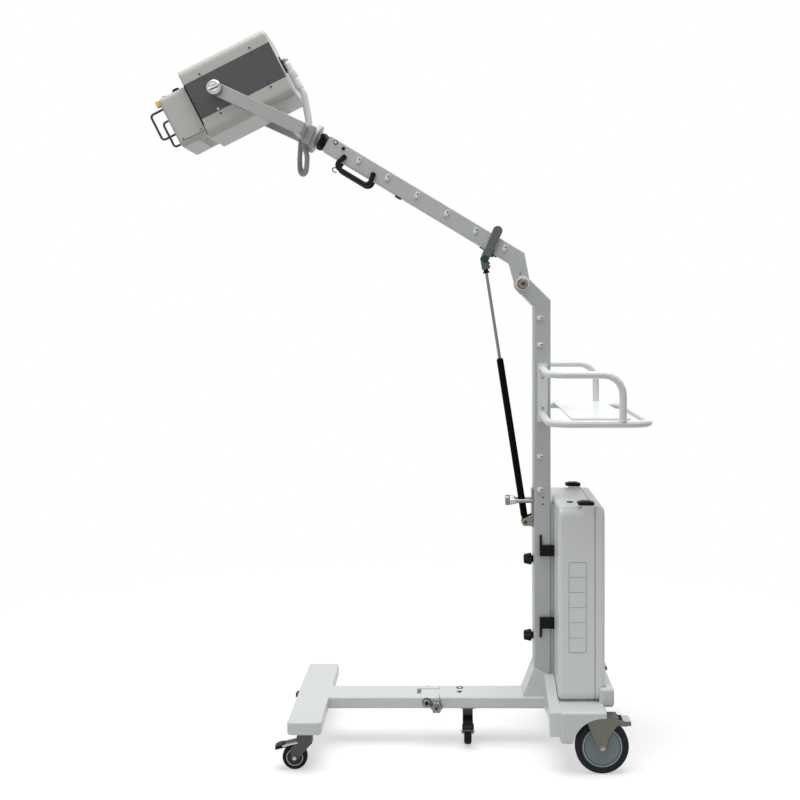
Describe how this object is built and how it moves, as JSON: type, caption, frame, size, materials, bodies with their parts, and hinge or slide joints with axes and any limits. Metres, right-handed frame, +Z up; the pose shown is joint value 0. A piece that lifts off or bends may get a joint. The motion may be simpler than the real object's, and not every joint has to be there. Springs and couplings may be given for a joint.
{
  "type": "portable x-ray machine",
  "caption": "Mobile x-ray stand: T-shaped folding leg on casters, mast with generator case and handrail, gas-sprung boom, swivelling yoke and tilting tube head with collimator.",
  "frame": {"origin": "on the floor, at the centre of the overall box in plan", "axes": "+Z up, the boom and the tube head point along -X, the operator's handrail is at +X, the stand is symmetric about y = 0"},
  "size_m": [1.5435, 0.6219, 2.2501],
  "materials": {
    "white_paint": "white powder coat",
    "grey_paint": "light grey powder coat",
    "dark_panel": "dark grey satin paint",
    "black_plastic": "moulded black plastic",
    "grey_lever": "moulded dark grey plastic",
    "steel": "turned and plated steel",
    "tyre": "dark solid rubber",
    "wheel_grey": "grey nylon",
    "caster_steel": "dark pressed steel",
    "hose_grey": "grey corrugated plastic",
    "cable_white": "white cable sheath"
  },
  "bodies": {
    "base": {"rear_chassis": "white_paint", "mast": "white_paint", "pivot_bolt": "steel", "case_shell": "white_paint", "case_lid": "white_paint", "case_latch_near": "black_plastic", "case_latch_far": "black_plastic", "case_bracket_upper_near": "black_plastic", "case_bracket_upper_far": "black_plastic", "case_bracket_lower_near": "black_plastic", "case_bracket_lower_far": "black_plastic", "mast_knob_upper": "black_plastic", "mast_knob_lower": "black_plastic", "handrail": "white_paint", "tray_plate": "white_paint", "strut_bracket": "steel", "rear_fork_near": "caster_steel", "rear_fork_far": "caster_steel", "mid_caster_plate": "caster_steel"},
    "front_leg": {"front_leg": "white_paint", "fold_bolt": "steel", "fold_knob": "black_plastic", "front_caster_near_plate": "caster_steel", "front_caster_far_plate": "caster_steel"},
    "front_caster_near": {"front_caster_near_fork": "caster_steel"},
    "front_caster_near_wheel": {"front_caster_near_hub": "wheel_grey", "front_caster_near_tyre": "tyre"},
    "front_caster_far": {"front_caster_far_fork": "caster_steel"},
    "front_caster_far_wheel": {"front_caster_far_hub": "wheel_grey", "front_caster_far_tyre": "tyre"},
    "mid_caster": {"mid_caster_fork": "caster_steel"},
    "mid_caster_wheel": {"mid_caster_hub": "wheel_grey", "mid_caster_tyre": "tyre"},
    "rear_wheel_near": {"rear_wheel_near_hub": "wheel_grey", "rear_wheel_near_tyre": "tyre"},
    "rear_wheel_far": {"rear_wheel_far_hub": "wheel_grey", "rear_wheel_far_tyre": "tyre"},
    "boom": {"boom": "grey_paint", "eye_bracket": "caster_steel", "boom_handle_near": "black_plastic", "boom_handle_far": "black_plastic", "swivel_clamp": "black_plastic"},
    "strut_barrel": {"strut_barrel": "black_plastic"},
    "strut_rod": {"strut_rod": "steel", "strut_lever": "grey_lever"},
    "yoke": {"yoke": "grey_paint", "head_cable": "cable_white", "hose_loop": "hose_grey"},
    "head": {"head_housing": "white_paint", "head_side_panel_near": "dark_panel", "head_side_panel_far": "dark_panel", "tilt_knob_near": "steel", "tilt_knob_far": "steel", "collimator": "white_paint", "collimator_neck": "black_plastic", "collimator_bail_near": "grey_lever", "collimator_bail_far": "grey_lever", "head_socket": "black_plastic", "head_plug": "cable_white"}
  },
  "joints": [
    {"name": "leg_fold", "type": "hinge", "parent": "base", "child": "front_leg", "pos_m": [0.0951, 0, 0.138], "axis": [0, 1, 0], "range_deg": [0, 90]},
    {"name": "boom_lift", "type": "hinge", "parent": "base", "child": "boom", "pos_m": [0.3992, 0, 1.459], "axis": [0, 1, 0], "range_deg": [-40, 20]},
    {"name": "strut_tilt", "type": "hinge", "parent": "base", "child": "strut_barrel", "pos_m": [0.4089, 0, 0.699], "axis": [0, 1, 0], "range_deg": [-4.1, 2.1]},
    {"name": "strut_slide", "type": "slide", "parent": "strut_barrel", "child": "strut_rod", "axis": [-0.1541, 0, 0.9881], "range_m": [-0.0885, 0.0445]},
    {"name": "yoke_roll", "type": "hinge", "parent": "boom", "child": "yoke", "pos_m": [-0.25221, 0, 1.91913], "axis": [0.9078, 0, -0.4195], "range_deg": [-90, 90]},
    {"name": "head_tilt", "type": "hinge", "parent": "yoke", "child": "head", "pos_m": [-0.55541, 0, 2.05923], "axis": [0, 1, 0], "range_deg": [-90, 90], "deforming": ["head_cable"]},
    {"name": "front_caster_near_swivel", "type": "hinge", "parent": "front_leg", "child": "front_caster_near", "pos_m": [-0.2648, -0.219, 0.1], "axis": [0, 0, 1], "continuous": true},
    {"name": "front_caster_near_spin", "type": "hinge", "parent": "front_caster_near", "child": "front_caster_near_wheel", "pos_m": [-0.2968, -0.219, 0.0375], "axis": [0, 1, 0], "continuous": true},
    {"name": "front_caster_far_swivel", "type": "hinge", "parent": "front_leg", "child": "front_caster_far", "pos_m": [-0.2648, 0.219, 0.1], "axis": [0, 0, 1], "continuous": true},
    {"name": "front_caster_far_spin", "type": "hinge", "parent": "front_caster_far", "child": "front_caster_far_wheel", "pos_m": [-0.2968, 0.219, 0.0375], "axis": [0, 1, 0], "continuous": true},
    {"name": "mid_caster_swivel", "type": "hinge", "parent": "base", "child": "mid_caster", "pos_m": [0.2247, 0, 0.1], "axis": [0, 0, 1], "continuous": true},
    {"name": "mid_caster_spin", "type": "hinge", "parent": "mid_caster", "child": "mid_caster_wheel", "pos_m": [0.2247, -0.032, 0.0375], "axis": [1, 0, 0], "continuous": true},
    {"name": "rear_wheel_near_spin", "type": "hinge", "parent": "base", "child": "rear_wheel_near", "pos_m": [0.6202, -0.2455, 0.08], "axis": [0, 1, 0], "continuous": true},
    {"name": "rear_wheel_far_spin", "type": "hinge", "parent": "base", "child": "rear_wheel_far", "pos_m": [0.6202, 0.2455, 0.08], "axis": [0, 1, 0], "continuous": true}
  ],
  "couplings": [
    {"joint": "strut_tilt", "follows": "boom_lift", "ratio": 0.1},
    {"joint": "strut_slide", "follows": "boom_lift", "m_per_rad": 0.125}
  ]
}
